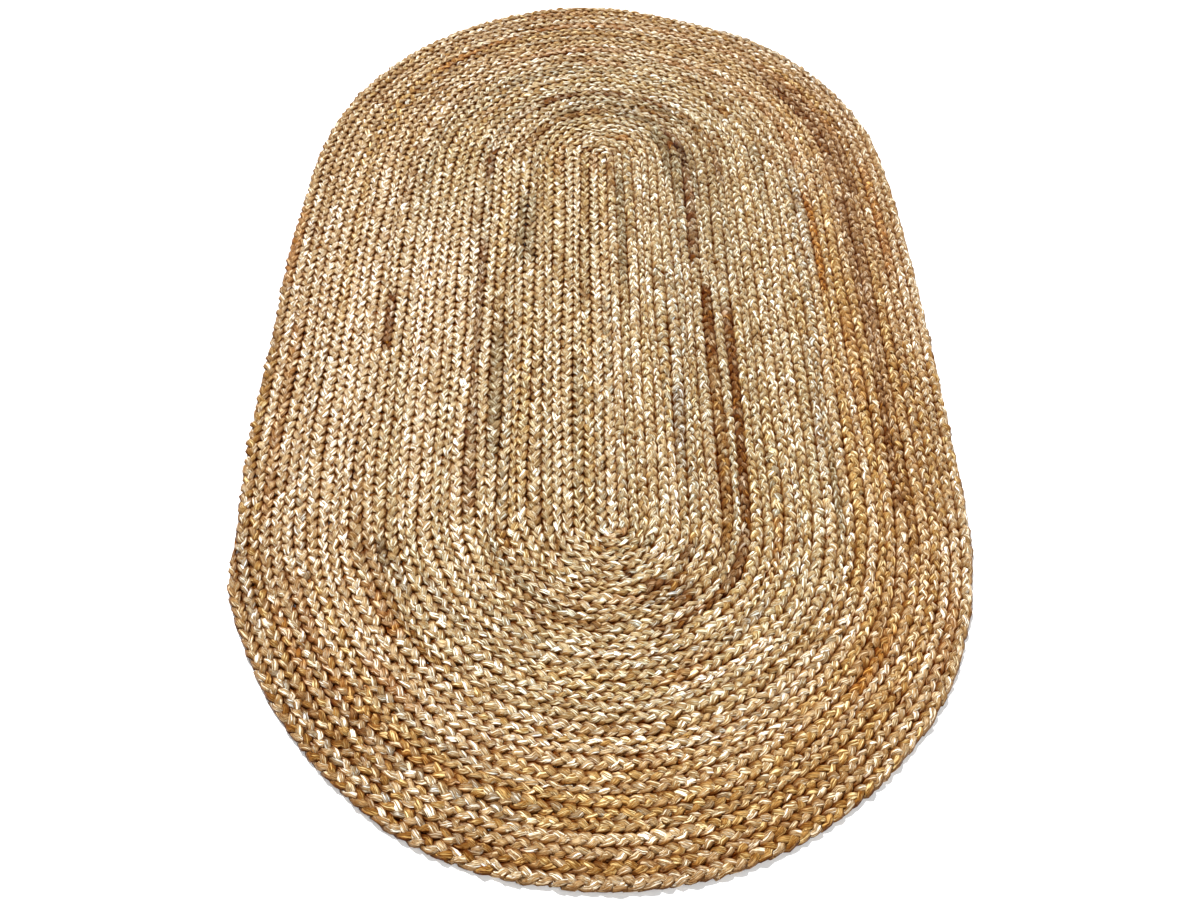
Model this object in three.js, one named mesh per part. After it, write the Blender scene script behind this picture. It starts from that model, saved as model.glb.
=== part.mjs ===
// Oval jute rug: one long three-strand plait, wound round and round and sewn edge to edge
// into a flat mat. Millimetres, +Z up. It lies on the floor at z = 0 with its long way
// along Y, and the origin is under its middle. The plait's strands are finer than this
// solid, which has the mat's real outline, thickness and rounded rim.
import * as THREE from 'three';

// Driving dimensions
const halfWidth = 600; // from the middle to the straight sides
const halfStraight = 406; // half the length of a straight side
const endReach = 672; // from the end of the straight sides to the tip of a rounded end
const thickness = 11; // the plait is two strands thick
const rimRound = 4; // the plait's rounded edge, above and below
const rowWidth = 17.5; // one row of plait
const rimPoints = 320;

// The plait's outer end is sewn to the left side, in the near half. Going anticlockwise
// from this place the last row thickens from nothing, and the rim draws in just before it.
const tailPlace = 0.585;
const tailTaper = 0.025;
const tailDrawIn = 0.035;

// The mat was wound by hand and eye, so its rim isn't an even oval. place is how far
// round the rim, anticlockwise from the middle of the right side (0.25 is the far end),
// out is how far the rim stands out there, and spread is how wide the swelling is.
const swellings = [
  { place: 0.005, out: 3.6, spread: 220 },
  { place: 0.082, out: -7.2, spread: 80 },
  { place: 0.16, out: 2.9, spread: 150 },
  { place: 0.212, out: -14.2, spread: 95 },
  { place: 0.262, out: 3.2, spread: 75 },
  { place: 0.345, out: -3.8, spread: 90 },
  { place: 0.405, out: -7.8, spread: 150 },
  { place: 0.475, out: 4.8, spread: 110 },
  { place: 0.592, out: 9.2, spread: 100 },
  { place: 0.7, out: 4.7, spread: 70 },
  { place: 0.865, out: 4.4, spread: 100 },
  { place: 0.92, out: -3.2, spread: 90 },
];

// Length of an even oval's rim, with a close formula for its two elliptic ends
const endLength = (Math.PI / 2) * (3 * (halfWidth + endReach)
  - Math.sqrt((3 * halfWidth + endReach) * (halfWidth + 3 * endReach)));
const rimLength = 4 * halfStraight + 2 * endLength;
const straightShare = (2 * halfStraight) / rimLength;
const endShare = endLength / rimLength;

function smooth(value) {
  return THREE.MathUtils.smoothstep(value, 0, 1);
}

// The place that is `share` of the way round, kept from 0 up to 1
function wrap(share) {
  return THREE.MathUtils.euclideanModulo(share, 1);
}

// A point of the even oval and the direction that points straight out of it
function evenRim(place) {
  const side = wrap(place + straightShare / 2);
  const far = side < 0.5;
  const along = far ? side : side - 0.5;
  const flip = far ? 1 : -1;
  if (along < straightShare) {
    const y = -halfStraight + (2 * halfStraight * along) / straightShare;
    return { point: new THREE.Vector2(flip * halfWidth, flip * y), out: new THREE.Vector2(flip, 0) };
  }
  const angle = (Math.PI * (along - straightShare)) / endShare;
  const x = Math.cos(angle);
  const y = Math.sin(angle);
  return {
    point: new THREE.Vector2(flip * halfWidth * x, flip * (halfStraight + endReach * y)),
    out: new THREE.Vector2(flip * x * endReach, flip * y * halfWidth).normalize(),
  };
}

// How far the rim stands outside the even oval
function standOut(place) {
  let out = 0;
  for (const swelling of swellings) {
    const away = (wrap(place - swelling.place + 0.5) - 0.5) * rimLength;
    out += swelling.out * Math.exp(-0.5 * (away / swelling.spread) ** 2);
  }
  const pastTail = wrap(place - tailPlace);
  const drawnIn = smooth((pastTail - 1 + tailDrawIn) / tailDrawIn);
  const untapered = 1 - smooth(pastTail / tailTaper);
  return out - rowWidth * Math.max(drawnIn, untapered);
}

// The whole rim, centred on the origin
function rimOutline() {
  const points = [];
  for (let i = 0; i < rimPoints; i += 1) {
    const place = i / rimPoints;
    const { point, out } = evenRim(place);
    points.push(point.addScaledVector(out, standOut(place)));
  }
  const middle = new THREE.Box2().setFromPoints(points).getCenter(new THREE.Vector2());
  return points.map((point) => point.sub(middle));
}

// The mat itself: the outline with its thickness and a rounded edge
function plaitedMat() {
  const geometry = new THREE.ExtrudeGeometry(new THREE.Shape(rimOutline()), {
    depth: thickness - 2 * rimRound,
    bevelThickness: rimRound,
    bevelSize: rimRound,
    bevelOffset: -rimRound,
    bevelSegments: 3,
  });
  geometry.translate(0, 0, rimRound);
  const jute = new THREE.MeshStandardMaterial({ color: 0xc39a63, roughness: 0.85, metalness: 0 });
  const mat = new THREE.Mesh(geometry, jute);
  mat.name = 'plaited_mat';
  return mat;
}

const rug = new THREE.Group();
rug.add(plaitedMat());

export default rug;
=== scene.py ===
import math

import bpy
import numpy as np
from mathutils import Matrix, Vector


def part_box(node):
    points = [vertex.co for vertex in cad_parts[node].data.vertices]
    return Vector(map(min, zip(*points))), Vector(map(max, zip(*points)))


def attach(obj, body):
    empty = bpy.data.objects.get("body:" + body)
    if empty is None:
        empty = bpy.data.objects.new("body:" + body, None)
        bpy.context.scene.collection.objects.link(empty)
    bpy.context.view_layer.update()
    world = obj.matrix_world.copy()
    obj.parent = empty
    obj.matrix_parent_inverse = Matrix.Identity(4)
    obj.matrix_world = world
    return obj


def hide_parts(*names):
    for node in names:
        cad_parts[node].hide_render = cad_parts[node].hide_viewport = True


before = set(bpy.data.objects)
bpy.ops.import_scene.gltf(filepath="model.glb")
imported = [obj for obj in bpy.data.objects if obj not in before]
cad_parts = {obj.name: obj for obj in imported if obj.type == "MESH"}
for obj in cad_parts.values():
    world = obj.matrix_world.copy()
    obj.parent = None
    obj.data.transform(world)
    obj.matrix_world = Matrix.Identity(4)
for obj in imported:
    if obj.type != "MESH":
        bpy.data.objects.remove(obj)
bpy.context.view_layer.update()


# Winding of the plait
#
# The rug is one flat plait of jute, about 130 m long. It starts as a straight run in the
# middle and is wound anticlockwise from there, each turn sewn to the last edge to edge.
# Its outer end is thinned out and sewn to the left side, in the near half.
half_width = 0.600
half_straight = 0.406
end_reach = 0.672
row_width = 0.0175
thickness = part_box("plaited_mat")[1].z
period = 0.060

# Where on the rim the outer end is, as a share of the way round, and over how much of the
# rim the last row thins out there and the rim draws in just before it
tail_place = 0.585
tail_taper = 0.025
tail_draw_in = 0.035

# Wound by hand and eye, the rim swells out and draws in. Places are counted anticlockwise
# round the rim from the middle of the right side, as shares of it. The places and spreads
# were chosen one by one, and how far the rim stands out comes from a fit to the photo's rim.
swellings = [
    {"place": 0.005, "out": 0.0036, "spread": 0.220},
    {"place": 0.082, "out": -0.0072, "spread": 0.080},
    {"place": 0.160, "out": 0.0029, "spread": 0.150},
    {"place": 0.212, "out": -0.0142, "spread": 0.095},
    {"place": 0.262, "out": 0.0032, "spread": 0.075},
    {"place": 0.345, "out": -0.0038, "spread": 0.090},
    {"place": 0.405, "out": -0.0078, "spread": 0.150},
    {"place": 0.475, "out": 0.0048, "spread": 0.110},
    {"place": 0.592, "out": 0.0092, "spread": 0.100},
    {"place": 0.700, "out": 0.0047, "spread": 0.070},
    {"place": 0.865, "out": 0.0044, "spread": 0.100},
    {"place": 0.920, "out": -0.0032, "spread": 0.090},
]

# Rows are counted outwards from the straight run in the middle, turns inwards from the
# outer end. At the rounded ends, near and far, the outer rows are a little wider than the
# inner ones. In its last bit of a turn the plait is a little smaller, and it is tucked in.
rows = 34.67
turns = 33.993
spine_near = np.array([0.018, -0.48])
spine_far = np.array([0.005, 0.50])
near_end = 0.75
far_end = 0.25
near_crowding = 0.13
far_crowding = 0.02
inner_end = 0.0025
inner_end_size = 0.8
inner_tuck = 0.011
rim_steps = 320
winding_steps = 40001
steady_steps = 9

# Wound by hand, the rows drift in and out a little, and their neighbours with them. Each
# drift is a wave: how far it goes out, how many rows it takes, how many waves there are
# round the rug, and where it starts. It sets in over the first rows from middle and rim.
drifts = [
    {"out": 0.0011, "rows": 3.3, "waves": 3, "start": 0.1},
    {"out": 0.0012, "rows": 4.9, "waves": -4, "start": 0.7},
    {"out": 0.0009, "rows": 3.9, "waves": 7, "start": 0.4},
    {"out": 0.0014, "rows": 7.1, "waves": -9, "start": 0.2},
    {"out": 0.0006, "rows": 2.7, "waves": 13, "start": 0.9},
]
undrifted_middle = 4
undrifted_rim = 5

end_length = math.pi / 2 * (
    3 * (half_width + end_reach)
    - math.sqrt((3 * half_width + end_reach) * (half_width + 3 * end_reach))
)
rim_length = 4 * half_straight + 2 * end_length
straight_share = 2 * half_straight / rim_length
end_share = end_length / rim_length


def smooth(value):
    """0 up to 0 and 1 from 1, rising softly in between."""
    value = np.clip(value, 0, 1)
    return value * value * (3 - 2 * value)


def away_from(place, other):
    """How far round the rim a place is from another one, from -0.5 to 0.5 of the rim."""
    return (place - other + 0.5) % 1 - 0.5


def sides_of(place):
    """Whether a place is in the right half, and how far along its half it is, up to 0.5."""
    side = (place + straight_share / 2) % 1
    return side < 0.5, side % 0.5


def rim(place):
    """The rug's rim, at places counted anticlockwise from the middle of the right side:
    first as it is, then as if the last row didn't taper off."""
    right, along = sides_of(place)
    flip = np.where(right, 1.0, -1.0)
    straight = along < straight_share
    angle = math.pi * (along - straight_share) / end_share
    y = half_straight * (2 * along / straight_share - 1)
    x, across = np.cos(angle), np.sin(angle)
    point = np.stack([
        flip * np.where(straight, half_width, half_width * x),
        flip * np.where(straight, y, half_straight + end_reach * across),
    ], axis=-1)
    out = np.stack([
        flip * np.where(straight, 1, x * end_reach),
        flip * np.where(straight, 0, across * half_width),
    ], axis=-1)
    out /= np.linalg.norm(out, axis=-1, keepdims=True)
    stand_out = sum(
        s["out"] * np.exp(-0.5 * (away_from(place, s["place"]) * rim_length / s["spread"]) ** 2)
        for s in swellings
    )
    past_tail = (place - tail_place) % 1
    drawn_in = smooth((past_tail - 1 + tail_draw_in) / tail_draw_in)
    untapered = 1 - smooth(past_tail / tail_taper)
    drawn_rim = stand_out - row_width * np.maximum(drawn_in, untapered)
    full_rim = stand_out - row_width * drawn_in
    return point + out * drawn_rim[..., None], point + out * full_rim[..., None]


def spine(place):
    """The point of the straight middle run that a place of the rim is wound round."""
    right, along = sides_of(place)
    share = np.clip(along / straight_share, 0, 1)
    share = np.where(right, share, 1 - share)[..., None]
    return spine_near + (spine_far - spine_near) * share


def winding(turn):
    """The plait's middle line, its width and how full it is, after a number of turns. The
    line is half a row in from its row's outer edge, and a whole row in where it is thinned out."""
    past_tail = turn % 1
    place = (tail_place + past_tail) % 1
    thin = 1 - smooth(turn / tail_taper)
    row = rows - turn - 0.5 - 0.5 * thin
    near = smooth(1 - np.abs(away_from(place, near_end)) / (end_share / 2))
    far = smooth(1 - np.abs(away_from(place, far_end)) / (end_share / 2))
    crowding = near_crowding * near + far_crowding * far
    share = row / (rows - past_tail)
    centre, edge = spine(place), rim(place)[1]
    ray = edge - centre
    ray_length = np.linalg.norm(ray, axis=-1)
    drifting = smooth(row / undrifted_middle) * smooth((turn - 1) / undrifted_rim)
    drift = np.zeros_like(turn)
    widening = np.zeros_like(turn)
    for d in drifts:
        wave = math.tau * (row / d["rows"] + d["waves"] * place + d["start"])
        drift += drifting * d["out"] * np.sin(wave)
        widening += drifting * d["out"] * np.cos(wave) * math.tau / d["rows"]
    pushed = share * (1 - crowding * (1 - share)) + drift / ray_length
    slope = 1 - crowding * (1 - 2 * share)
    width = ray_length * slope / (rows - past_tail) + widening
    cut = smooth((turns - turn) / inner_end)
    full = (1 - thin) * (inner_end_size + (1 - inner_end_size) * cut)
    return centre + pushed[..., None] * ray, width, full


rim_places = np.arange(rim_steps) / rim_steps
rim_points = rim(rim_places)[0]
middle = (rim_points.min(axis=0) + rim_points.max(axis=0)) / 2

turn_steps = np.linspace(0, turns, winding_steps)
line, width, full = winding(turn_steps)
line -= middle

# The inner end is tucked in straight on, so that no gap is left in the middle
inner_run = line[-steady_steps] - line[-steady_steps - 1]
line[-1] += inner_run / np.linalg.norm(inner_run) * inner_tuck
lengths = np.concatenate([[0], np.cumsum(np.linalg.norm(np.diff(line, axis=0), axis=1))])
plait_length = lengths[-1]


# Shades of the jute
#
# Jute comes in bundles from pale cream to dark brown, and each strand is fed with a new one
# every 0.18 to 0.6 m, spliced to the last. Where like bundles meet, rings and streaks of one
# shade run along the rows. Evenness says how much chance changes a bundle's brightness and
# how strong a stretch is, as a whole and in each lobe.
shades = {
    "white": (0.98, 0.96, 0.90),
    "cream": (0.91, 0.88, 0.80),
    "straw": (0.85, 0.80, 0.70),
    "tan": (0.78, 0.71, 0.58),
    "gold": (0.78, 0.67, 0.46),
    "rust": (0.67, 0.46, 0.19),
    "brown": (0.60, 0.45, 0.24),
    "olive": (0.58, 0.53, 0.42),
    "pale olive": (0.80, 0.80, 0.68),
    "grey": (0.69, 0.66, 0.60),
    "dark": (0.47, 0.29, 0.08),
    "black": (0.32, 0.20, 0.07),
}
bundle_shares = {"cream": 20, "straw": 42, "tan": 24, "gold": 8, "brown": 2, "grey": 4}
bundle_lengths = (0.18, 0.60)
bundle_evenness = (0.90, 1.10)
splice = 0.03
area_start = -1
area_row_ramp = 6
area_place_ramp = 0.06
stretch_ramp = 0.006
stretch_evenness = (0.7, 1.4)
lobe_evenness = (0.5, 1.5)
shade_seed = 5

# A strand has four lobes in each period of the plait, two on top and two underneath, and
# the three strands follow each other at thirds of a period, all with a small lead
lobes_per_period = 4
strand_count = 3
strand_lead = 0.125

# Broad areas of a shade: rows counted inwards from the rim, places anticlockwise round the
# rim, its name, and how far it covers the bundles. An area fades out from its middle row and
# place, and is a little fainter right on the middle row too, where area_start fades it in.
areas = [
    {"rows": (2, 11), "places": (0.72, 1.22), "shade": "gold", "share": 0.28},
    {"rows": (0, 7), "places": (0.60, 0.86), "shade": "brown", "share": 0.15},
    {"rows": (-2, 3), "places": (0.02, 0.62), "shade": "brown", "share": 0.24},
    {"rows": (4, 7), "places": (0.84, 1.14), "shade": "rust", "share": 0.32},
    {"rows": (-2, 6), "places": (0.80, 1.14), "shade": "brown", "share": 0.17},
    {"rows": (6, 20), "places": (0.44, 0.56), "shade": "cream", "share": 0.45},
    {"rows": (0, 10), "places": (0.20, 0.44), "shade": "gold", "share": 0.25},
    {"rows": (12, 36), "places": (0.00, 0.25), "shade": "pale olive", "share": 0.30},
    {"rows": (12, 36), "places": (0.25, 0.50), "shade": "pale olive", "share": 0.26},
    {"rows": (12, 36), "places": (0.50, 0.75), "shade": "pale olive", "share": 0.26},
    {"rows": (12, 36), "places": (0.75, 1.00), "shade": "pale olive", "share": 0.30},
    {"rows": (20, 26), "places": (0.95, 1.32), "shade": "olive", "share": 0.28},
    {"rows": (13, 19), "places": (0.462, 0.512), "shade": "white", "share": 0.60},
    {"rows": (6, 10), "places": (0.44, 0.60), "shade": "cream", "share": 0.30},
]

# Stretches of a shade: the turns it starts and ends at, counted inwards along the plait
# from its outer end, its name, and how far it covers the bundles. They were read off the
# photo's mean colour along the plait.
stretches = [
    (0.02, 0.12, "brown", 0.35), (0.15, 0.21, "brown", 0.35), (0.67, 0.73, "brown", 0.3),
    (0.86, 0.90, "rust", 0.5), (0.90, 0.99, "brown", 0.35), (1.00, 1.04, "grey", 0.4),
    (1.11, 1.23, "brown", 0.55), (1.28, 1.31, "rust", 0.35), (1.67, 1.70, "rust", 0.4),
    (1.85, 1.97, "cream", 0.4), (2.06, 2.09, "dark", 0.35), (2.00, 2.25, "brown", 0.25),
    (2.44, 2.50, "rust", 0.5), (2.54, 2.80, "brown", 0.3), (2.92, 3.00, "rust", 0.35),
    (3.03, 3.06, "rust", 0.5), (3.62, 3.64, "rust", 0.35), (3.86, 3.94, "cream", 0.35),
    (4.06, 4.09, "dark", 0.55), (4.14, 4.17, "gold", 0.7), (4.17, 4.45, "gold", 0.4),
    (4.48, 4.52, "dark", 0.4), (4.52, 4.62, "rust", 0.4), (4.65, 4.70, "rust", 0.6),
    (5.02, 5.12, "rust", 0.4), (5.32, 5.40, "brown", 0.5), (5.41, 5.58, "dark", 0.5),
    (5.71, 5.76, "rust", 0.55), (6.07, 6.30, "gold", 0.55), (6.26, 6.29, "rust", 0.7),
    (6.34, 6.39, "dark", 0.65), (6.38, 6.48, "dark", 0.45), (6.50, 6.57, "dark", 0.75),
    (6.58, 6.73, "gold", 0.5), (6.73, 6.76, "dark", 0.35), (6.84, 6.92, "gold", 0.5),
    (7.07, 7.12, "grey", 0.4), (7.27, 7.30, "brown", 0.5), (7.87, 8.08, "cream", 0.6),
    (7.89, 7.93, "white", 0.6), (8.06, 8.09, "rust", 0.4), (8.12, 8.20, "gold", 0.6),
    (8.24, 8.48, "gold", 0.7), (8.38, 8.42, "rust", 0.4), (8.50, 8.72, "gold", 0.45),
    (8.76, 8.79, "brown", 0.5), (8.88, 8.98, "cream", 0.5), (9.03, 9.16, "straw", 0.5),
    (9.62, 9.80, "straw", 0.5), (9.89, 9.98, "cream", 0.5), (10.00, 10.12, "straw", 0.5),
    (10.17, 10.20, "cream", 0.6), (10.30, 10.46, "gold", 0.7), (10.43, 10.48, "rust", 0.7),
    (10.50, 10.63, "rust", 0.35), (10.65, 10.73, "rust", 0.45), (11.03, 11.06, "rust", 0.6),
    (11.20, 11.27, "cream", 0.4), (11.44, 11.50, "grey", 0.5), (11.75, 11.78, "brown", 0.5),
    (11.82, 11.86, "brown", 0.4), (11.905, 11.93, "dark", 0.9), (12.00, 12.08, "brown", 0.4),
    (12.14, 12.20, "brown", 0.3), (12.32, 12.36, "olive", 0.6), (12.67, 12.70, "brown", 0.6),
    (13.008, 13.025, "black", 0.6), (13.08, 13.12, "brown", 0.35), (13.36, 13.41, "grey", 0.6),
    (13.49, 13.52, "brown", 0.5), (13.56, 13.61, "brown", 0.6), (13.65, 13.68, "rust", 0.35),
    (14.02, 14.04, "grey", 0.6), (14.50, 14.55, "brown", 0.35), (14.88, 14.93, "white", 0.9),
    (14.93, 15.00, "cream", 0.5), (15.20, 15.26, "white", 0.6), (15.47, 15.52, "olive", 0.5),
    (15.55, 15.58, "brown", 0.6), (15.89, 15.99, "cream", 0.6), (16.03, 16.08, "grey", 0.4),
    (16.19, 16.22, "rust", 0.35), (16.75, 16.78, "rust", 0.45), (16.88, 17.02, "straw", 0.6),
    (17.12, 17.18, "gold", 0.5), (17.21, 17.23, "rust", 0.4), (17.24, 17.28, "grey", 0.5),
    (17.75, 17.78, "brown", 0.4), (18.10, 18.24, "grey", 0.4), (18.29, 18.34, "rust", 0.5),
    (18.88, 18.92, "cream", 0.5), (19.14, 19.20, "cream", 0.6), (19.25, 19.29, "cream", 0.5),
    (19.90, 20.06, "cream", 0.6), (20.48, 20.50, "dark", 0.7), (20.50, 20.58, "brown", 0.6),
    (20.59, 20.68, "dark", 0.5), (20.69, 20.73, "dark", 0.85), (20.73, 20.80, "dark", 0.45),
    (20.82, 20.85, "dark", 0.85), (20.88, 20.99, "dark", 0.6), (21.08, 21.11, "dark", 0.6),
    (21.20, 21.42, "dark", 0.5), (21.24, 21.26, "dark", 0.4), (21.33, 21.42, "dark", 0.7),
    (21.37, 21.40, "dark", 0.4), (21.56, 21.61, "olive", 0.8), (22.05, 22.16, "brown", 0.4),
    (22.21, 22.28, "cream", 0.4), (22.54, 22.56, "cream", 0.6), (22.58, 22.62, "brown", 0.6),
    (22.64, 22.67, "olive", 0.6), (22.92, 22.97, "olive", 0.7), (23.00, 23.13, "olive", 0.5),
    (23.23, 23.25, "dark", 0.6), (23.31, 23.42, "brown", 0.6), (23.40, 23.43, "dark", 0.7),
    (23.47, 23.52, "olive", 0.6), (23.62, 23.64, "grey", 0.7), (23.70, 23.73, "olive", 0.6),
    (23.80, 23.83, "brown", 0.5), (24.00, 24.03, "brown", 0.6), (24.20, 24.26, "grey", 0.8),
    (24.44, 24.57, "dark", 0.6), (24.485, 24.53, "black", 0.7), (24.58, 24.65, "olive", 0.6),
    (24.65, 24.81, "brown", 0.6), (24.86, 24.89, "olive", 0.9), (25.16, 25.20, "rust", 0.4),
    (25.20, 25.27, "brown", 0.6), (25.47, 25.58, "olive", 0.8), (25.52, 25.54, "dark", 0.95),
    (25.86, 25.89, "olive", 0.7), (26.21, 26.24, "dark", 0.75), (26.28, 26.31, "dark", 0.6),
    (26.31, 26.34, "gold", 0.6), (26.48, 26.57, "olive", 0.9), (27.05, 27.08, "cream", 0.6),
    (27.14, 27.17, "gold", 0.4), (27.36, 27.39, "grey", 0.7), (28.03, 28.06, "brown", 0.4),
    (28.185, 28.21, "black", 0.6), (28.26, 28.28, "white", 0.8), (28.30, 28.37, "cream", 0.5),
    (28.50, 28.53, "olive", 0.7), (28.79, 28.85, "rust", 0.4), (29.11, 29.16, "brown", 0.6),
    (29.26, 29.29, "cream", 0.7), (29.51, 29.66, "gold", 0.5), (29.59, 29.62, "rust", 0.7),
    (29.74, 29.79, "gold", 0.5), (30.27, 30.31, "olive", 0.7), (30.50, 30.52, "gold", 0.5),
    (30.93, 30.99, "olive", 0.4), (31.15, 31.20, "olive", 0.5), (31.24, 31.27, "olive", 0.6),
    (31.67, 31.70, "cream", 0.7), (31.75, 31.79, "dark", 0.8), (32.06, 32.09, "cream", 0.7),
    (32.12, 32.18, "cream", 0.6), (32.43, 32.48, "olive", 0.6), (32.58, 32.63, "white", 0.9),
    (32.65, 32.68, "cream", 0.8), (32.68, 32.70, "olive", 0.7), (32.81, 32.85, "rust", 0.4),
    (33.08, 33.17, "white", 0.7), (33.20, 33.32, "rust", 0.4), (33.38, 33.41, "cream", 0.7),
    (33.47, 33.62, "brown", 0.6), (33.86, 33.90, "gold", 0.4),
]


def linear(shade):
    """A shade, from 0 to 1 as the eye sees it, as the light it sends back, by the sRGB rule."""
    shade = np.asarray(shade, dtype=float)
    return np.where(shade > 0.04045, ((shade + 0.055) / 1.055) ** 2.4, shade / 12.92)


def between(value, low, high, ramp):
    """1 from low to high and 0 elsewhere, with soft ends."""
    return smooth((value - low) / ramp + 0.5) * smooth((high - value) / ramp + 0.5)


def strand_shades(strand, chance):
    """The colour of one strand at each step of the winding."""
    periods = lengths / period + (strand + strand_lead) / strand_count
    lobe = np.floor(lobes_per_period * periods).astype(int)
    lobe_taking = chance.uniform(*lobe_evenness, size=lobe[-1] + 1)[lobe]
    names = list(bundle_shares)
    weights = np.array(list(bundle_shares.values()))
    ends, colours = [], []
    end = 0.0
    while end < plait_length:
        start, end = end, end + chance.uniform(*bundle_lengths)
        colour = linear(shades[chance.choice(names, p=weights / weights.sum())])
        colour = colour * chance.uniform(*bundle_evenness)
        ends += [start + splice / 2, end - splice / 2]
        colours += [colour, colour]
    colours = np.array(colours)
    shade = np.stack([np.interp(lengths, ends, colours[:, c]) for c in range(3)], axis=1)
    place = (tail_place + turn_steps) % 1
    for a in areas:
        middle_row, reach = sum(a["rows"]) / 2, (a["rows"][1] - a["rows"][0]) / 2
        middle_place, spread = sum(a["places"]) / 2, (a["places"][1] - a["places"][0]) / 2
        within = between(np.abs(turn_steps - middle_row), area_start, reach, area_row_ramp)
        from_middle = np.abs(away_from(place, middle_place))
        within *= between(from_middle, area_start, spread, area_place_ramp)
        shade += (linear(shades[a["shade"]]) - shade) * (a["share"] * within)[:, None]
    for start, end, name, share in stretches:
        share = share * chance.uniform(*stretch_evenness)
        within = between(turn_steps, start, end, stretch_ramp) * lobe_taking
        shade += (linear(shades[name]) - shade) * np.clip(share * within, 0, 1)[:, None]
    return shade


chance = np.random.default_rng(shade_seed)
strand_colours = [strand_shades(strand, chance) for strand in range(strand_count)]


# Jute of the strands
#
# A strand is a loose, hardly twisted bundle of long jute fibres: streaks of paler and
# browner fibre run along it, it shines a little on top, and down between its neighbours,
# where light hardly reaches, shade is painted on it in dark and warm brown. Sizes are the
# length and width of a streak or fibre, and depths say how much it stands out or in as bump.
streak_size = (0.026, 0.0030)
fibre_size = (0.010, 0.0008)
patch_size = 0.013
streak_depth = 0.0017
fibre_depth = 0.0003
groove_depth = 0.0010
noise_middle = 0.5
noise_roughness = 0.6

# How bright a lobe, a streak and a fibre may be, and how much faster than red the green
# and blue of dark jute fall, which makes it browner
lobe_brightness = (0.86, 1.14)
streak_brightness = (0.36, 1.56)
fibre_brightness = (0.80, 1.20)
green_fall = 1.45
blue_fall = 2.1

# Where the noise turns into streaks, into the grooves between them, and into finer marks
streak_range = (0.27, 0.73)
groove_range = (0.015, 0.075)
fibre_range = (0.3, 0.7)
patch_range = (0.35, 0.65)

# Tints. The flank, seam and crevice tints are painted shade: a flank is the side of a lobe, a
# seam the edge of a row, and a crevice lies deep between strands. The groove tint darkens the
# grooves between streaks and the golden tint warms patches. A range says where a tint fades,
# and a share how strong it is at the rug's open rim and inside the rug. The lit range says
# where shine is dimmed as painted shade deep down.
painted_crevice_shade = (0.32, 0.13, 0.03, 1)
painted_flank_shade = (0.62, 0.455, 0.265, 1)
groove_tint = (0.42, 0.27, 0.12, 1)
golden_tint = (1.01, 0.98, 0.90, 1)
painted_seam_shade = (0.60, 0.41, 0.21, 1)
flank_shade_range = (0.25, 0.80)
seam_shade_range = (0.62, 1.05)
deep_shade_range = (0.24, 0.82)
crevice_shade_range = (0.05, 0.40)
lit_range = (0.35, 0.80)
seam_shade_shares = (0.4, 1.0)
crevice_shade_shares = (0.2, 0.6)

# Shine of dark and of pale streaks
streak_roughness = (0.52, 0.36)
streak_shine = (0.3, 0.8)
sheen = 0.12
sheen_roughness = 0.4


class Field:
    """A number that varies over a surface, as a socket of the node tree that works it out."""

    def __init__(self, tree, socket):
        self.tree, self.socket = tree, socket

    def math(self, operation, *others, flip=False):
        """Works out a number from this one and others, which come first if flip is set."""
        node = self.tree.nodes.new("ShaderNodeMath")
        node.operation = operation
        values = [*others, self] if flip else [self, *others]
        for slot, value in zip(node.inputs, values):
            if isinstance(value, Field):
                self.tree.links.new(value.socket, slot)
            else:
                slot.default_value = value
        return Field(self.tree, node.outputs[0])

    def __add__(self, other):
        return self.math("ADD", other)

    def __radd__(self, other):
        return self.math("ADD", other)

    def __sub__(self, other):
        return self.math("SUBTRACT", other)

    def __rsub__(self, other):
        return self.math("SUBTRACT", other, flip=True)

    def __mul__(self, other):
        return self.math("MULTIPLY", other)

    def __rmul__(self, other):
        return self.math("MULTIPLY", other)

    def __truediv__(self, other):
        return self.math("DIVIDE", other)

    def sine(self):
        return self.math("SINE")

    def cosine(self):
        return self.math("COSINE")

    def from_to(self, first, last):
        """first where this is 0, last where it is 1, and evenly in between."""
        return first + (last - first) * self

    def between(self, low, high):
        """0 up to low and 1 from high, rising evenly from one to the other."""
        node = self.tree.nodes.new("ShaderNodeMapRange")
        self.tree.links.new(self.socket, node.inputs["Value"])
        node.inputs["From Min"].default_value = low
        node.inputs["From Max"].default_value = high
        return Field(self.tree, node.outputs["Result"])


def link(tree, value, slot):
    """Links a socket to a node's input, or sets the input to a plain value."""
    value = value.socket if isinstance(value, Field) else value
    if isinstance(value, bpy.types.NodeSocket):
        tree.links.new(value, slot)
    else:
        slot.default_value = value


def add_node(tree, kind, inputs=(), **settings):
    """Adds a node, with its settings and with values or links for its named inputs."""
    node = tree.nodes.new(kind)
    for name, value in settings.items():
        setattr(node, name, value)
    for name, value in dict(inputs).items():
        link(tree, value, node.inputs[name])
    return node


def vector_math(tree, operation, a, b=None, scale=None):
    """Works out a vector from another, with a second one or a scale."""
    node = add_node(tree, "ShaderNodeVectorMath", operation=operation)
    link(tree, a, node.inputs[0])
    if b is not None:
        link(tree, b, node.inputs[1])
    if scale is not None:
        link(tree, scale, node.inputs["Scale"])
    return node.outputs["Vector"]


def combine(tree, x=0.0, y=0.0, z=0.0):
    """The vector of three numbers."""
    return add_node(tree, "ShaderNodeCombineXYZ", {"X": x, "Y": y, "Z": z}).outputs[0]


def split(tree, vector):
    """The three numbers of a vector."""
    parts = add_node(tree, "ShaderNodeSeparateXYZ", {"Vector": vector}).outputs
    return [Field(tree, part) for part in parts]


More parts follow.
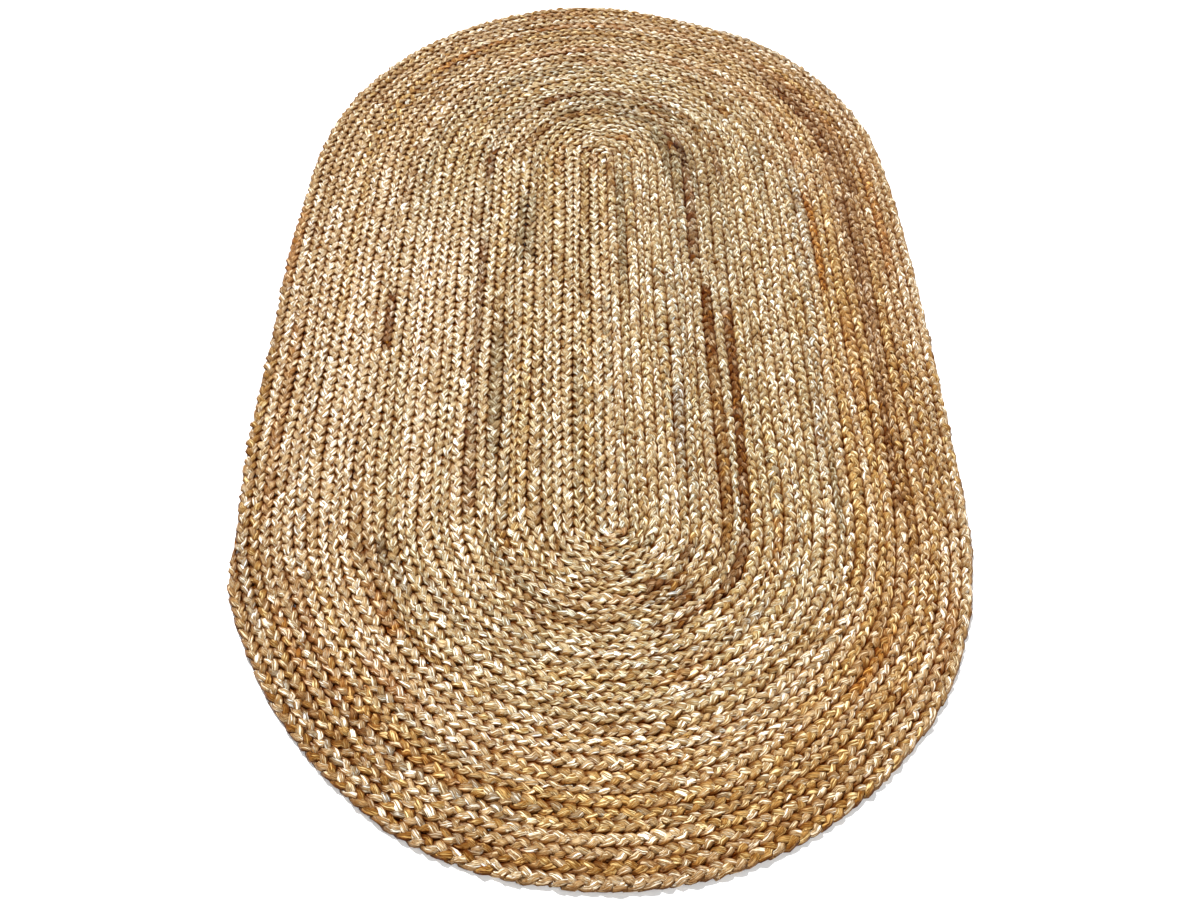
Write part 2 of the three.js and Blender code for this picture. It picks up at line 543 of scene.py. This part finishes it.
def tint(tree, colour, tinted, share):
    """A colour multiplied by a tint, as far as share says."""
    node = add_node(tree, "ShaderNodeMix", data_type="RGBA", blend_type="MULTIPLY")
    link(tree, share, node.inputs["Factor"])
    link(tree, colour, node.inputs["A"])
    link(tree, tinted, node.inputs["B"])
    return node.outputs["Result"]


def jute_material():
    """Loose jute, in the shade, lobe and place on the strand that the mesh says, with shade painted
    on its flanks, seams and deep places.
    """
    material = bpy.data.materials.new("jute")
    material.use_nodes = True
    tree = material.node_tree
    surface = tree.nodes["Principled BSDF"]

    def attribute(name, output="Vector"):
        """Reads a value that is kept on the strands under a name."""
        return add_node(tree, "ShaderNodeAttribute", attribute_name=name).outputs[output]

    def noise(vector, detail):
        """Noise that changes over about one unit of the vector."""
        node = add_node(tree, "ShaderNodeTexNoise", {
            "Vector": vector, "Scale": 1.0, "Detail": detail, "Roughness": noise_roughness,
        })
        return Field(tree, node.outputs["Fac"])

    def along_fibres(size, detail):
        """Noise drawn out along the strand's fibres."""
        long, wide = size
        scaled = vector_math(tree, "MULTIPLY", attribute("fibre"), (1 / long, 1 / wide, 1 / wide))
        return noise(scaled, detail)

    crown, lobe, strand = split(tree, attribute("wound"))
    own_tone = Field(tree, add_node(tree, "ShaderNodeTexWhiteNoise", {
        "Vector": combine(tree, lobe.math("FLOOR"), strand),
    }, noise_dimensions="2D").outputs["Value"])
    bundles = along_fibres(streak_size, detail=2.0)
    streaks = bundles.between(*streak_range)
    grooves = 1 - (bundles - noise_middle).math("ABSOLUTE").between(*groove_range)
    fibres = along_fibres(fibre_size, detail=1.0).between(*fibre_range)
    place = tree.nodes.new("ShaderNodeTexCoord").outputs["Object"]
    patch_place = vector_math(tree, "SCALE", place, scale=1 / patch_size)
    patches = noise(patch_place, detail=1.0).between(*patch_range)
    height = split(tree, place)[2]
    from_middle = (height - thickness / 2).math("ABSOLUTE") / (thickness / 2)

    brightness = own_tone.from_to(*lobe_brightness) * streaks.from_to(*streak_brightness)
    brightness = brightness * fibres.from_to(*fibre_brightness)
    browner = combine(
        tree, brightness, brightness.math("POWER", green_fall), brightness.math("POWER", blue_fall)
    )
    colour = vector_math(tree, "MULTIPLY", attribute("shade"), browner)
    colour = tint(tree, colour, golden_tint, patches)
    colour = tint(tree, colour, groove_tint, grooves)

    # Painted shade: the colour is darkened on the lobes' flanks, at the rows' seams and deep between
    # strands, and the shine is dimmed deep down; at the rug's open rim the seams and deep places get
    # less of it
    hidden = 1 - Field(tree, attribute("at_rim", "Fac"))
    lit = 1 - hidden * (1 - from_middle.between(*lit_range))
    seam_shade = Field(tree, attribute("across_row", "Fac")).math("ABSOLUTE").between(*seam_shade_range)
    flank_shade = 1 - crown.between(*flank_shade_range)
    deep_shade = hidden * (1 - from_middle.between(*deep_shade_range))
    crevice_shade = 1 - crown.between(*crevice_shade_range)
    colour = tint(tree, colour, painted_flank_shade, flank_shade)
    colour = tint(tree, colour, painted_seam_shade, hidden.from_to(*seam_shade_shares) * seam_shade)
    colour = tint(tree, colour, painted_crevice_shade, deep_shade)
    colour = tint(tree, colour, painted_crevice_shade, hidden.from_to(*crevice_shade_shares) * crevice_shade)
    tree.links.new(colour, surface.inputs["Base Color"])

    relief = streaks * streak_depth + fibres * fibre_depth - grooves * groove_depth
    bump = add_node(tree, "ShaderNodeBump", {"Height": relief, "Strength": 1.0, "Distance": 1.0})
    tree.links.new(bump.outputs["Normal"], surface.inputs["Normal"])
    link(tree, streaks.from_to(*streak_roughness), surface.inputs["Roughness"])
    # The shine and sheen are dimmed where lit is low, as painted shade on the reflections deep
    # between strands
    link(tree, lit * streaks.from_to(*streak_shine), surface.inputs["Specular IOR Level"])
    link(tree, sheen * lit, surface.inputs["Sheen Weight"])
    surface.inputs["Sheen Roughness"].default_value = sheen_roughness
    for name in ("Specular Tint", "Sheen Tint"):
        tree.links.new(colour, surface.inputs[name])
    return material


# The plait
#
# Three strands plaited flat. A strand lies on top while it goes from an edge to the middle,
# dives there and comes back underneath, so both faces show the same slanted lobes, 20 mm
# apart in two columns. It is wide and plump in each lobe and pinched between two, and soft
# enough that crossing strands sink into each other. Swing and lift are how far it goes to
# each side and up or down. About once in a lobe length, chance makes it more or less plump,
# and lets it stray and roll about its own length.
steps_per_period = 12
strand_sides = 6
lobe_width = 0.0144
lobe_height = 0.0076
pinched_width = 0.0092
pinched_height = 0.0074
edge_width = 0.0080
edge_height = 0.0084
swing = 0.0062
lift = 0.0020
lobe_length = 0.013
unevenness = 1.5
stray = 0.0058
stray_along = 2
roll_about = 2.2
floor_gap = 0.0001
merge_reach = 1e-5

# A strand turns round quickly at a row's edge and stays up for long in a lobe. It rises more
# in the middle of the row than at an edge, and its section is tilted less than its rise is.
quick_turn = 0.1
long_top = 0.15
middle_rise = 1.2
edge_rise = 0.8
tilt = 1.4

# The crown is 1 along the top of a lobe and falls to 0 at its flanks, and it is lower where
# the strand turns at an edge, or dives in the middle of the row. The material paints shade
# where the crown is low; the last two ranges find the outer side of the outermost row, at the
# open rim, where it paints less.
crown_least = 0.3
crown_in_lobe = 0.7
crown_in_dive = 0.3
rim_side_range = (0.1, 0.7)
last_row_range = (0.98, 1.02)

# Strands read the same noise far from each other, in periods of the noise and in metres
chance_apart = 7.3
fibres_apart = 0.5

# The plait is split into runs, each under the limit on triangles. A run's strands lie flat
# in folds on its pattern map. Take-up is how much longer a strand is than its run; that
# length is worked out but not used.
run_count = 5
folds = 18
fold_end_margin = 0.002
fold_side_margin = 0.05
take_up = 1.1


def store(tree, geometry, name, value, data_type="FLOAT", domain="POINT"):
    """Keeps a value on the strands under a name."""
    node = add_node(
        tree, "GeometryNodeStoreNamedAttribute", {"Geometry": geometry, "Name": name},
        data_type=data_type, domain=domain,
    )
    link(tree, value, node.inputs["Value"])
    return node.outputs["Geometry"]


def named(tree, name, data_type="FLOAT"):
    """Reads a value that is kept under a name."""
    node = add_node(tree, "GeometryNodeInputNamedAttribute", {"Name": name}, data_type=data_type)
    return node.outputs["Attribute"]


def plait_tree():
    """Three strands plaited along a path of edges, which holds its width and fullness."""
    tree = bpy.data.node_groups.new("Three-strand plait", "GeometryNodeTree")
    faces = tree.interface
    faces.new_socket("Path", in_out="INPUT", socket_type="NodeSocketGeometry")
    for name, kind, value in (
        ("Start", "NodeSocketFloat", 0.0),
        ("Period", "NodeSocketFloat", period),
        ("Steps per period", "NodeSocketInt", steps_per_period),
        ("Sides", "NodeSocketInt", strand_sides),
        ("Lobe width", "NodeSocketFloat", lobe_width),
        ("Lobe height", "NodeSocketFloat", lobe_height),
        ("Pinched width", "NodeSocketFloat", pinched_width),
        ("Pinched height", "NodeSocketFloat", pinched_height),
        ("Edge width", "NodeSocketFloat", edge_width),
        ("Edge height", "NodeSocketFloat", edge_height),
        ("Swing", "NodeSocketFloat", swing),
        ("Lift", "NodeSocketFloat", lift),
        ("Lobe length", "NodeSocketFloat", lobe_length),
        ("Unevenness", "NodeSocketFloat", unevenness),
        ("Stray", "NodeSocketFloat", stray),
        ("Roll", "NodeSocketFloat", roll_about),
        ("Middle height", "NodeSocketFloat", thickness / 2),
        ("Row width", "NodeSocketFloat", row_width),
        ("Folds", "NodeSocketInt", folds),
    ):
        faces.new_socket(name, in_out="INPUT", socket_type=kind).default_value = value
    faces.new_socket("Material", in_out="INPUT", socket_type="NodeSocketMaterial")
    faces.new_socket("Strands", in_out="OUTPUT", socket_type="NodeSocketGeometry")
    given = tree.nodes.new("NodeGroupInput").outputs
    number = {s.name: Field(tree, s) for s in given if s.type in ("VALUE", "INT")}

    path = add_node(tree, "GeometryNodeMeshToCurve", {"Mesh": given["Path"]}).outputs["Curve"]
    length = Field(tree, add_node(tree, "GeometryNodeCurveLength", {"Curve": path}).outputs[0])
    steps = (length / number["Period"] * number["Steps per period"]).math("ROUND")

    # A flat strip for each strand, one step longer at each end for the closed end
    strip = add_node(tree, "GeometryNodeMeshGrid", {
        "Size X": 1.0, "Size Y": 1.0,
        "Vertices X": steps + 3, "Vertices Y": number["Sides"] + 1,
    }).outputs["Mesh"]
    rings = steps + 2
    across, up_strip, _ = split(tree, tree.nodes.new("GeometryNodeInputPosition").outputs[0])
    strip = store(tree, strip, "ring", ((across + 0.5) * rings).math("ROUND"))
    strip = store(tree, strip, "around", up_strip + 0.5)
    points = add_node(tree, "GeometryNodeMeshLine", {"Count": strand_count}).outputs["Mesh"]
    strips = add_node(
        tree, "GeometryNodeInstanceOnPoints", {"Points": points, "Instance": strip}
    ).outputs["Instances"]
    index = tree.nodes.new("GeometryNodeInputIndex").outputs[0]
    strips = store(tree, strips, "strand", index, domain="INSTANCE")
    strips = add_node(tree, "GeometryNodeRealizeInstances", {"Geometry": strips}).outputs[0]
    ring, around, strand = (Field(tree, named(tree, name)) for name in ("ring", "around", "strand"))

    # The strips laid flat in folds, beside each other in one square, as a pattern map
    fold_steps = (rings / number["Folds"]).math("CEIL")
    strips = store(tree, strips, "fold", (ring / fold_steps).math("FLOOR"), domain="FACE")
    fold = Field(tree, named(tree, "fold"))
    along_fold = (ring / fold_steps - fold).from_to(fold_end_margin, 1 - fold_end_margin)
    across_fold = around.from_to(fold_side_margin, 1 - fold_side_margin)
    fold_rank = strand * number["Folds"] + fold + across_fold
    pattern_place = combine(tree, along_fold, fold_rank / (number["Folds"] * strand_count))
    strips = store(tree, strips, "OFBake", pattern_place, data_type="FLOAT2", domain="CORNER")

    # Where each ring of a strand is along the plait, and how far through its period
    step = (ring - 1).math("MAXIMUM", 0).math("MINIMUM", steps)
    even = step * length / steps
    wound = even + number["Start"]
    from_halfway = (ring - rings / 2).math("ABSOLUTE")
    capped = 1 - from_halfway.math("GREATER_THAN", rings / 2 - 0.5)
    lead = (strand + strand_lead) * (math.tau / strand_count)
    phase = wound / number["Period"] * math.tau + lead
    chance_place = combine(tree, x=wound / number["Lobe length"], y=strand * chance_apart)
    chance = add_node(tree, "ShaderNodeTexNoise", {
        "Vector": chance_place, "Scale": 1.0, "Detail": 1.0,
    }, noise_dimensions="3D").outputs["Color"]
    plump, aside, slide = (value - noise_middle for value in split(tree, chance))
    inside = (even * (length - even)).math("GREATER_THAN", 0)
    along = even + slide * number["Stray"] * stray_along * inside

    def sampled(name):
        """A value of the path, and the place and direction, where each ring is."""
        node = add_node(tree, "GeometryNodeSampleCurve", {
            "Curves": path, "Length": along,
        }, mode="LENGTH", data_type="FLOAT_VECTOR", use_all_curves=True)
        tree.links.new(named(tree, name, "FLOAT_VECTOR"), node.inputs["Value"])
        return node.outputs

    fit = sampled("fit")
    width, full, turn = split(tree, fit["Value"])
    onward = fit["Tangent"]
    inward = vector_math(tree, "CROSS_PRODUCT", (0, 0, 1), onward)

    # The strand's own middle line, over and under the others
    squeeze = width / number["Row width"]
    swell = 1 + plump * number["Unevenness"]
    wave = number["Period"].math("DIVIDE", math.tau, flip=True)
    edge = phase.cosine() * phase.cosine()
    swung = number["Swing"] * squeeze * full / (1 + quick_turn)
    side = swung * (phase.cosine() + quick_turn * (phase * 3).cosine()) + aside * number["Stray"]
    lifted = number["Lift"] * full
    rise = lifted / (1 - long_top) * ((phase * 2).sine() + long_top * (phase * 6).sine())
    rise = rise * edge.from_to(middle_rise, edge_rise) * swell
    side_slope = -1 * swung * wave * (phase.sine() + 3 * quick_turn * (phase * 3).sine())
    rise_slope = lifted * wave * ((phase * 2).cosine() + 3 * long_top * (phase * 6).cosine()) * tilt
    place = vector_math(tree, "ADD", fit["Position"], vector_math(tree, "SCALE", inward, scale=side))
    place = vector_math(tree, "ADD", place, combine(tree, z=rise + number["Middle height"]))

    # Its cross section, square to its own direction
    heading = vector_math(tree, "ADD", onward, vector_math(tree, "SCALE", inward, scale=side_slope))
    heading = vector_math(tree, "ADD", heading, combine(tree, z=rise_slope))
    heading = vector_math(tree, "NORMALIZE", heading)
    level = vector_math(tree, "NORMALIZE", vector_math(tree, "CROSS_PRODUCT", (0, 0, 1), heading))
    up = vector_math(tree, "CROSS_PRODUCT", heading, level)
    turned = around * math.tau
    crest = (phase * 2).sine().math("ABSOLUTE")

    def size(name):
        """The strand's width or height: pinched in the middle, round at an edge, full in a lobe."""
        pinched, round_edge = number["Pinched " + name], number["Edge " + name]
        narrow = pinched + (round_edge - pinched) * edge
        return narrow + (number["Lobe " + name] - narrow) * crest

    half_wide = size("width") / 2 * squeeze * full * swell
    half_high = size("height") / 2 * full * swell
    rolled = slide * number["Roll"]
    wing, top = turned.cosine() * half_wide * capped, turned.sine() * half_high * capped
    level_part = wing * rolled.cosine() - top * rolled.sine()
    up_part = wing * rolled.sine() + top * rolled.cosine()
    out = vector_math(
        tree, "ADD",
        vector_math(tree, "SCALE", level, scale=level_part),
        vector_math(tree, "SCALE", up, scale=up_part),
    )
    spot_x, spot_y, spot_z = split(tree, vector_math(tree, "ADD", place, out))
    on_floor = combine(tree, spot_x, spot_y, spot_z.math("MAXIMUM", floor_gap))
    tubes = add_node(
        tree, "GeometryNodeSetPosition", {"Geometry": strips, "Position": on_floor}
    ).outputs[0]

    # What the material reads: shade, place in the strand's bundle of fibres, and lobe, and also the
    # crown, the open rim and the place across the row, which set where shade is painted
    pick = add_node(tree, "GeometryNodeIndexSwitch", {"Index": strand}, data_type="VECTOR")
    pick.index_switch_items.new()
    for index in range(strand_count):
        tree.links.new(sampled(f"shade_{index}")["Value"], pick.inputs[index + 1])
    tubes = store(tree, tubes, "shade", pick.outputs[0], data_type="FLOAT_VECTOR")
    strand_side = turned.cosine() * half_wide + strand * fibres_apart
    fibre_place = combine(tree, wound, strand_side, turned.sine() * half_high)
    tubes = store(tree, tubes, "fibre", fibre_place, data_type="FLOAT_VECTOR")
    dive = (1 - crest) * (1 - edge)
    fullness = crown_least + crown_in_lobe * crest + crown_in_dive * dive
    crown = turned.sine().math("ABSOLUTE") * fullness
    lobe = phase * (lobes_per_period / math.tau)
    crown_and_lobe = combine(tree, crown, lobe, strand)
    tubes = store(tree, tubes, "wound", crown_and_lobe, data_type="FLOAT_VECTOR")
    # On the outer side of the outermost row, at the open rim, the material paints less shade
    outer_side = (-1 * side / number["Swing"]).between(*rim_side_range)
    tubes = store(tree, tubes, "at_rim", outer_side * (1 - turn.between(*last_row_range)))
    tubes = store(tree, tubes, "across_row", (side + level_part) / width * 2)
    tubes = add_node(
        tree, "GeometryNodeMergeByDistance", {"Geometry": tubes, "Distance": merge_reach}
    ).outputs[0]
    along_strand = from_halfway.math("LESS_THAN", rings / 2 - 1)
    tubes = add_node(
        tree, "GeometryNodeSetShadeSmooth", {"Geometry": tubes, "Selection": along_strand}
    ).outputs[0]
    tubes = add_node(tree, "GeometryNodeRealizeInstances", {"Geometry": tubes}).outputs[0]
    tubes = add_node(
        tree, "GeometryNodeSetMaterial", {"Geometry": tubes, "Material": given["Material"]}
    ).outputs[0]
    result = tree.nodes.new("NodeGroupOutput")
    tree.links.new(tubes, result.inputs["Strands"])
    return tree


jute = jute_material()
tree = plait_tree()
sockets = {s.name: s.identifier for s in tree.interface.items_tree if s.in_out == "INPUT"}
period_count = round(plait_length / period)
even_period = plait_length / period_count
runs_start = [round(i * period_count / run_count) * plait_length / period_count
              for i in range(run_count + 1)]
kept_on_path = {"fit": np.stack([width, full, turn_steps], axis=1)}
for strand, colours in enumerate(strand_colours):
    kept_on_path[f"shade_{strand}"] = colours
for index, (start, end) in enumerate(zip(runs_start, runs_start[1:])):
    within = (lengths > start) & (lengths < end)
    at = np.concatenate([[start], lengths[within], [end]])

    def along_run(values):
        """Values of the whole winding, at this run's own points."""
        return np.stack([np.interp(at, lengths, column) for column in values.T], axis=1)

    mesh = bpy.data.meshes.new("run path")
    path = np.column_stack([along_run(line), np.zeros(len(at))])
    mesh.from_pydata(path, [(i, i + 1) for i in range(len(at) - 1)], [])
    for name, values in kept_on_path.items():
        mesh.attributes.new(name, "FLOAT_VECTOR", "POINT")
        mesh.attributes[name].data.foreach_set("vector", along_run(values).ravel())
    run = bpy.data.objects.new(f"plait_run_{index + 1}", mesh)
    bpy.context.collection.objects.link(run)
    modifier = run.modifiers.new("Plait", "NODES")
    modifier.node_group = tree
    modifier[sockets["Start"]] = float(start)
    modifier[sockets["Period"]] = even_period
    modifier[sockets["Material"]] = jute
    evaluated = run.evaluated_get(bpy.context.evaluated_depsgraph_get())
    ready = bpy.data.meshes.new_from_object(evaluated)
    run.modifiers.clear()
    run.data = ready
    ready.name = run.name
    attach(run, "root")
    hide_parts("plaited_mat")
    (end - start) * take_up


# Floor, camera and light
#
# The rug lies on a plain pale floor. The camera stands where the photo was taken from, at
# its near end and about 1.7 m up. A soft lamp beyond its far left corner lights it, and a
# much softer and weaker one from the near right fills the shadows.
floor_size = 30
floor_drop = 0.0005
floor_paint = (0.9, 0.9, 0.9, 1)
floor_roughness = 0.7

bpy.ops.mesh.primitive_plane_add(size=floor_size)
floor = bpy.context.object
floor.name = "floor"
floor.location.z = -floor_drop
paint = bpy.data.materials.new("pale floor")
paint.use_nodes = True
floor_shader = paint.node_tree.nodes["Principled BSDF"]
floor_shader.inputs["Base Color"].default_value = floor_paint
floor_shader.inputs["Roughness"].default_value = floor_roughness
floor.data.materials.append(paint)

# The camera's place, angles and focal length, in pixels of the photo, are fitted to the rim
photo_width = 1200
photo_focal = 1303.8
sensor_width = 36
elevation = math.radians(49.313)
roll = math.radians(2.377)
yaw = math.radians(1.895)
distance = 2.2145
aim = np.array([-0.0047, 0.3132])

turned = np.array([[math.cos(yaw), math.sin(yaw)], [-math.sin(yaw), math.cos(yaw)]])
eye_flat = turned @ (np.array([0, -math.cos(elevation) * distance]) - aim) - middle
eye = Vector((*eye_flat, math.sin(elevation) * distance + thickness / 2))
ahead = Vector((*(turned @ np.array([0, math.cos(elevation)])), -math.sin(elevation)))
right = Vector((*(turned @ np.array([1, 0])), 0))
up = right.cross(ahead)
across = right * math.cos(roll) + up * math.sin(roll)
above = up * math.cos(roll) - right * math.sin(roll)
camera = bpy.data.objects.new("camera", bpy.data.cameras.new("camera"))
bpy.context.collection.objects.link(camera)
camera.data.sensor_width = sensor_width
camera.data.lens = photo_focal / photo_width * sensor_width
camera.matrix_world = Matrix((
    (across.x, above.x, -ahead.x, eye.x),
    (across.y, above.y, -ahead.y, eye.y),
    (across.z, above.z, -ahead.z, eye.z),
    (0, 0, 0, 1),
))
bpy.context.scene.camera = camera

sky_strength = 0.30
lamps = [
    {"name": "key", "from": (-0.35, 0.80, 1.10), "spread": 9, "strength": 6.8},
    {"name": "fill", "from": (0.30, -0.70, 0.90), "spread": 60, "strength": 1.9},
]
for lamp in lamps:
    light = bpy.data.objects.new(lamp["name"], bpy.data.lights.new(lamp["name"], "SUN"))
    bpy.context.collection.objects.link(light)
    light.data.angle = math.radians(lamp["spread"])
    light.data.energy = lamp["strength"]
    light.rotation_euler = (-Vector(lamp["from"])).to_track_quat("-Z", "Y").to_euler()
world = bpy.data.worlds.new("world")
bpy.context.scene.world = world
world.use_nodes = True
sky = world.node_tree.nodes["Background"]
sky.inputs["Color"].default_value = (1, 1, 1, 1)
sky.inputs["Strength"].default_value = sky_strength
bpy.context.scene.view_settings.view_transform = "Standard"
